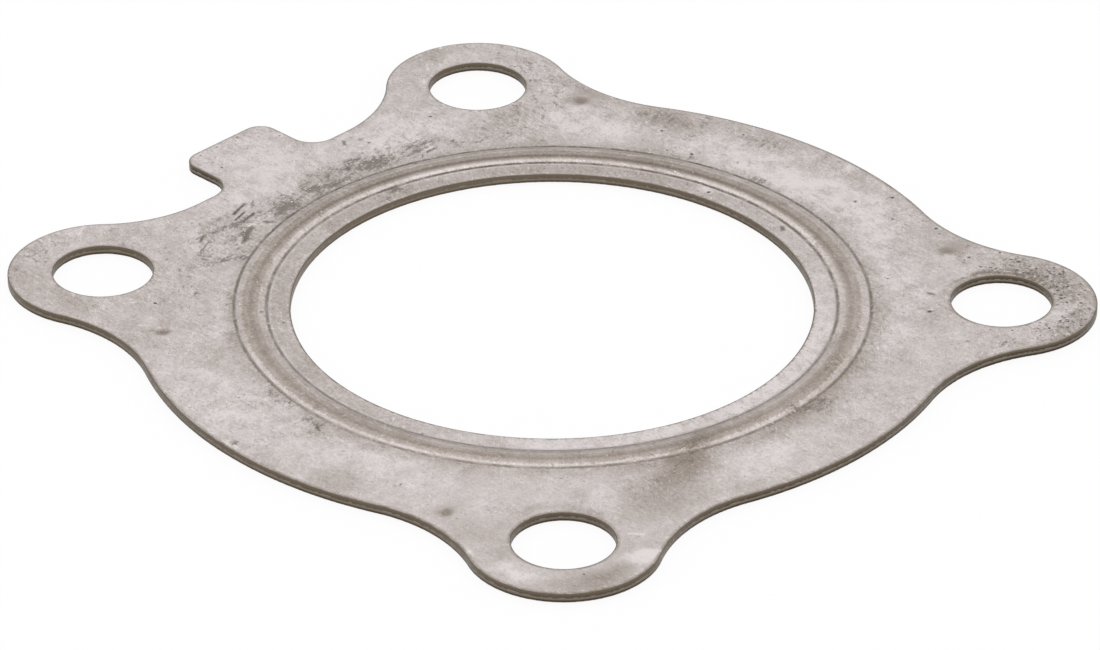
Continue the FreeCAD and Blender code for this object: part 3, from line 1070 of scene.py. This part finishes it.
class SteelNodes(Nodes):
    """The nodes of worn sheet, with the noises and distances that several of its parts share."""

    def __init__(self, material):
        super().__init__(material)
        self.place = self.placed(0, (1, 1, 1))
        self.cloud = self.noise(self.place, 0.11, 3, 0.6, 0.8)
        self.mottle = self.noise(self.place, 0.5, 4, 0.75)
        self.fine = self.noise(self.place, 2.6, 3, 0.8)
        self.grain = self.noise(self.place, 8.0, 2, 0.7)
        self.upright = self.noise(self.placed(0.06, (4.5, 0.28, 1)), 1.0, 3, 0.7)
        self.slanted = self.noise(self.placed(0.85, (5.0, 0.34, 1)), 1.0, 3, 0.7)
        self.flecks = self.noise(self.placed(0.15, (3.2, 1.0, 1)), 1.0, 4, 0.85)
        self.away = self.vector_maths("DOT_PRODUCT", self.place, away_direction, "Value")
        self.right = self.vector_maths("DOT_PRODUCT", self.place, right_direction, "Value")
        self.from_port = self.distance_from(0, 0)
        self.unevenness = self.times(self.maths("SUBTRACT", self.fine, 0.5), 0.5)
        self.smoothness = self.between(self.away, -50, -22, 0.68, 1.0)
        wear = self.between(self.noise(self.place, 0.2, 2, 0.6), 0.38, 0.62, 0.35, 1.35)
        wear = self.maths("MULTIPLY_ADD", self.attribute("rough"), 0.8, wear)
        self.wear = self.times(wear, self.smoothness)

    def stain_and_shade_ring(self, middle, reach):
        """A ring with an uneven border, about a middle of its own."""
        x, y, radius = middle
        return self.ring(self.plus(self.distance_from(x, y), self.unevenness), radius, reach)

    def crease_shade_and_dirt(self):
        """Dark lines along both feet of the bead: painted shade in the concave creases, with some
        dirt, fainter on the near side of the view.
        """
        inner_radius = self.maths("MULTIPLY_ADD", self.unevenness, 0.5, self.from_port)
        inner = self.ring(inner_radius, inner_foot, crease_reach)
        x, y, middle = outer_crease_line
        outer_radius = self.maths("MULTIPLY_ADD", self.unevenness, 0.7, self.distance_from(x, y))
        outer = self.ring(outer_radius, middle, crease_reach)
        broken = self.between(self.mottle, 0.38, 0.56, 0.45, 1.0)
        both = self.times(self.maths("MAXIMUM", inner, outer), broken)
        return self.times(both, self.between(self.away, -30, 25, 0.72, 1.0))

    def metal_colour(self):
        """The bare metal with its patches, scuffs, and the stains and painted shade of the bead."""
        patchiness = self.between(self.mottle, 0.35, 0.65, 0.6, 1.4)
        tone = self.plus(1.0, self.times(self.attribute("tone"), patchiness))
        tone = self.swayed(tone, self.cloud, cloud_amount)
        texture = self.swayed(0.0, self.mottle, mottle_amount)
        texture = self.swayed(texture, self.fine, fine_amount)
        texture = self.swayed(texture, self.grain, grain_amount)
        texture = self.swayed(texture, self.upright, upright_amount)
        texture = self.swayed(texture, self.slanted, slanted_amount)
        light_scuffs = self.between(self.flecks, 0.55, 0.72, 0.0, 0.42)
        dark_scuffs = self.between(self.flecks, 0.28, 0.45, -0.46, 0.0)
        light_lines = self.between(self.slanted, 0.62, 0.75, 0.0, 0.35)
        dark_lines = self.between(self.upright, 0.25, 0.36, -0.30, 0.0)
        scuffs = self.plus(light_scuffs, dark_scuffs)
        wear_marks = self.plus(scuffs, self.plus(light_lines, dark_lines))
        texture = self.maths("MULTIPLY_ADD", wear_marks, self.wear, texture)
        tone = self.maths("MULTIPLY_ADD", texture, self.smoothness, tone)
        foot_stain = self.times(
            self.between(self.from_port, outer_foot, outer_foot + foot_stain_width, 1.0, 0.0),
            self.between(self.from_port, outer_foot - 0.1, outer_foot),
        )
        tone = self.maths("MULTIPLY_ADD", foot_stain, foot_stain_loss, tone)
        share = self.between(tone, dark_tone, light_tone)
        colour = self.blend(share, dark_face_colour, light_face_colour)

        # Darker crown: partly real staining, partly a painted dark reflection of the pressed crown
        crown = self.stain_and_shade_ring(crown_shade_and_stain, crown_shade_and_stain_reach)
        # Painted shade: the line on the crown darker on the far side of the view
        far_side_shade = self.between(self.away, 0, 28, 0.40, 1.0)
        for stain_and_shade_ring, stain_and_shade_colour in (
            (self.stain_and_shade_ring(bead_warmth, bead_warmth_reach), warm_colour),
            (crown, crown_colour),
            (self.times(self.stain_and_shade_ring(crown_line, crown_line_reach), far_side_shade), crown_line_colour),
            # Painted shade: the crown darker again on the far side of the view
            (self.times(crown, self.between(self.away, 8, 28)), far_crown_shade_colour),
        ):
            colour = self.blend(stain_and_shade_ring, colour, stain_and_shade_colour, "MULTIPLY")
        return colour

    def grime(self):
        """How thickly grime lies, broken up by finer noise."""
        covered = self.attribute("grime")
        clots = self.noise(self.placed(-0.2, (1.0, 2.0, 1)), 1.15, 5, 0.78)
        clotted = self.between(self.swayed(covered, clots, 4.2), 0.25, 0.85)
        return self.times(clotted, self.between(covered, 0.02, 0.25))

    def smudge(self):
        """How strongly the spot welds have discoloured the face."""
        covered = self.attribute("smudge")
        broken = self.swayed(self.swayed(covered, self.fine, 1.4), self.grain, 0.8)
        broken = self.between(broken, 0.05, 1.05, 0.0, 0.9)
        return self.times(broken, self.between(covered, 0.02, 0.2))

    def soiled_colour(self, colour, grime, crease_shade_and_dirt, dirt):
        """The metal with grime, weld discolouring, painted shade and dirt in the creases, specks,
        dirt, painted glints and bared metal on it.
        """
        specks = self.between(self.noise(self.place, 1.9, 2, 0.6), 0.66, 0.74, 0.0, 0.5)
        # Painted glints: light flecks put into the colour where the face is worn or grimy
        glints = self.between(self.noise(self.place, 2.4, 2, 0.6), 0.66, 0.73, 0.0, 0.55)
        glints = self.times(glints, self.plus(self.wear, self.attribute("grime")), clamp=True)
        shine = self.times(self.attribute("shine"), self.between(self.mottle, 0.42, 0.56))
        for share, layer_colour in (
            (self.times(grime, grime_cover), grime_colour),
            (self.smudge(), smudge_colour),
            (crease_shade_and_dirt, crease_shade_and_dirt_colour),
            (specks, grime_colour),
            (glints, bared_and_glint_colour),
            (dirt, pit_colour),
            (self.times(shine, shine_cover), bared_and_glint_colour),
        ):
            colour = self.blend(share, colour, layer_colour)
        return colour

    def edge_colour(self, colour, roll_colour, wall_colour):
        """The cut edges, and the browned strip of the face beside them, with painted shade on the
        walls towards the right of the view.
        """
        rim = self.attribute("rim")
        beside = self.attribute("brink")
        ahead = self.add("ShaderNodeSeparateXYZ", {0: self.place}).outputs["Y"]
        brink = self.maths("SUBTRACT", beside, self.between(ahead, 15, 28, 0.0, 0.12))
        brink = self.between(brink, 0.50, 0.88)
        brink = self.times(brink, self.between(self.mottle, 0.38, 0.60, 0.35, 0.9))
        colour = self.blend(brink, colour, roll_colour)
        lip_flecks = self.between(self.flecks, 0.57, 0.66, 0.0, 0.6)
        lip = self.times(self.between(beside, 0.30, 0.55), lip_flecks)
        colour = self.blend(lip, colour, bared_and_glint_colour)
        colour = self.blend(self.between(rim, 0.05, 0.35), colour, roll_colour)

        # Painted shade: the walls darker towards the right of the view, where less light falls on them
        right_side_shade = self.between(self.right, -10, 45, 1.0, 0.68)
        tone = self.swayed(right_side_shade, self.slanted, 0.8)
        tone = self.times(tone, self.between(self.from_port, *port_wall_reach, port_wall_tone, 1.0))
        from_notch = self.distance_from(*dark_notch)
        notch_tone = self.between(from_notch, *dark_notch_reach, dark_notch_tone, 1.0)
        wall = self.vector_maths("MULTIPLY", wall_colour[:3], self.times(tone, notch_tone))
        return self.blend(self.between(rim, 0.5, 0.9), colour, wall)


def steel(name, roll_colour, wall_colour):
    """Worn stainless sheet, stained and with painted shade round its bead, and browned along its cut
    edges.
    """
    material = bpy.data.materials.new(name)
    nodes = SteelNodes(material)
    grime = nodes.grime()
    crease_shade_and_dirt = nodes.crease_shade_and_dirt()
    dirt = nodes.times(nodes.attribute("dirt"), nodes.between(nodes.fine, 0.34, 0.54, 0.6, 1.0))
    colour = nodes.soiled_colour(nodes.metal_colour(), grime, crease_shade_and_dirt, dirt)
    colour = nodes.edge_colour(colour, roll_colour, wall_colour)
    relief = nodes.plus(nodes.fine, nodes.plus(nodes.flecks, nodes.mottle))
    bump_inputs = {"Strength": 0.6, "Distance": bump_height * millimetre, "Height": relief}
    soiled = nodes.maths("MAXIMUM", dirt, nodes.maths("MAXIMUM", grime, crease_shade_and_dirt))
    dullness = nodes.between(nodes.mottle, 0.3, 0.7, 0.34, 0.44)
    shader = nodes.add("ShaderNodeBsdfPrincipled", {
        "Base Color": colour,
        "Metallic": nodes.between(soiled, 0.0, 1.0, 1.0, 0.6),
        "Roughness": nodes.plus(dullness, nodes.times(soiled, 0.15)),
        "Normal": nodes.add("ShaderNodeBump", bump_inputs).outputs[0],
    })
    nodes.add("ShaderNodeOutputMaterial", {0: shader.outputs[0]})
    return material


upper_steel = steel("worn_upper_steel", upper_roll_colour, upper_wall_colour)
lower_steel = steel("worn_lower_steel", lower_roll_colour_with_highlight, lower_wall_colour_with_shade)
for piece, node, slot, material in (
    (upper, "upper_sheet", "upper_steel", upper_steel),
    (lower, "lower_sheet", "lower_steel", lower_steel),
):
    piece.data.materials.append(material)
    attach(piece, "root")
    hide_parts(node)
    frame["nodes"][node].data.materials.clear()
    frame["nodes"][node].data.materials.append(material)


# Camera, at the photograph's viewing angle
view_turn = math.radians(45.802)
view_elevation = math.radians(30.422)
view_roll = math.radians(0.103)
view_distance = 843.74
view_shift_right = 0.23
view_shift_down = -2.35
focal_length = 265.09


def place_camera():
    turned = Matrix.Rotation(-view_turn, 4, "Z")
    tilted = Matrix.Rotation(math.pi / 2 - view_elevation, 4, "X")
    rolled = Matrix.Rotation(-view_roll, 4, "Z")
    axes = turned @ tilted @ rolled
    target = Vector((0, 0, sheet_thickness))
    place = target + axes @ Vector((-view_shift_right, view_shift_down, view_distance))
    camera = bpy.data.objects.new("camera", bpy.data.cameras.new("camera"))
    camera.data.lens = focal_length
    camera.matrix_world = Matrix.Translation(place * millimetre) @ axes
    bpy.context.scene.collection.objects.link(camera)
    bpy.context.scene.camera = camera


place_camera()


# Share of the floor's own white in what the camera sees; the rest takes the object's shadow
floor_glow = 0.92
floor_reach = 3.0


def pale_floor():
    """White floor that keeps the object's shadow."""
    mesh = bpy.data.meshes.new("floor")
    corners = [(-1, -1), (1, -1), (1, 1), (-1, 1)]
    places = [(x * floor_reach, y * floor_reach, cad_box[0].z) for x, y in corners]
    mesh.from_pydata(places, [], [(0, 1, 2, 3)])
    floor = bpy.data.objects.new("floor", mesh)
    bpy.context.scene.collection.objects.link(floor)
    material = bpy.data.materials.new("floor_white")
    nodes = Nodes(material)
    seen = nodes.add("ShaderNodeLightPath")
    directly = nodes.maths("MAXIMUM", seen.outputs["Is Camera Ray"], seen.outputs["Is Glossy Ray"])
    directly = nodes.maths("MAXIMUM", directly, seen.outputs["Is Transmission Ray"])
    diffuse = nodes.add("ShaderNodeBsdfDiffuse", {"Color": (0.97, 0.97, 0.97, 1)})
    glow = nodes.add("ShaderNodeEmission", {"Color": (1, 1, 1, 1), "Strength": 1.0})
    share = nodes.times(directly, floor_glow)
    mixed = nodes.add("ShaderNodeMixShader", {0: share, 1: diffuse.outputs[0], 2: glow.outputs[0]})
    nodes.add("ShaderNodeOutputMaterial", {0: mixed.outputs[0]})
    mesh.materials.append(material)


pale_floor()


# Strength of the sky at the horizon and overhead, and the height from which it is full
sky_strength = (0.34, 0.98)
sky_full_height = 0.45

# Wide lamp overhead, in metres and watts
lamp_place = (0.84, 0.81, 1.86)
lamp_length = 2.1
lamp_width = 1.5
lamp_power = 4.5


def studio_light():
    """Soft light that grows from the horizon to overhead, and one wide lamp."""
    world = bpy.data.worlds.new("studio")
    bpy.context.scene.world = world
    nodes = Nodes(world)
    direction = nodes.add("ShaderNodeTexCoord").outputs["Generated"]
    height = nodes.add("ShaderNodeSeparateXYZ", {0: direction}).outputs["Z"]
    strength = nodes.between(height, 0.0, sky_full_height, *sky_strength)
    background = nodes.add("ShaderNodeBackground", {"Color": (1, 1, 1, 1), "Strength": strength})
    nodes.add("ShaderNodeOutputWorld", {0: background.outputs[0]})

    lamp = bpy.data.lights.new("overhead", "AREA")
    lamp.shape = "RECTANGLE"
    lamp.size = lamp_length
    lamp.size_y = lamp_width
    lamp.energy = lamp_power
    holder = bpy.data.objects.new("overhead", lamp)
    holder.location = lamp_place
    holder.rotation_mode = "QUATERNION"
    holder.rotation_quaternion = (-holder.location).to_track_quat("-Z", "Y")
    bpy.context.scene.collection.objects.link(holder)


studio_light()
bpy.context.scene.view_settings.view_transform = "Standard"
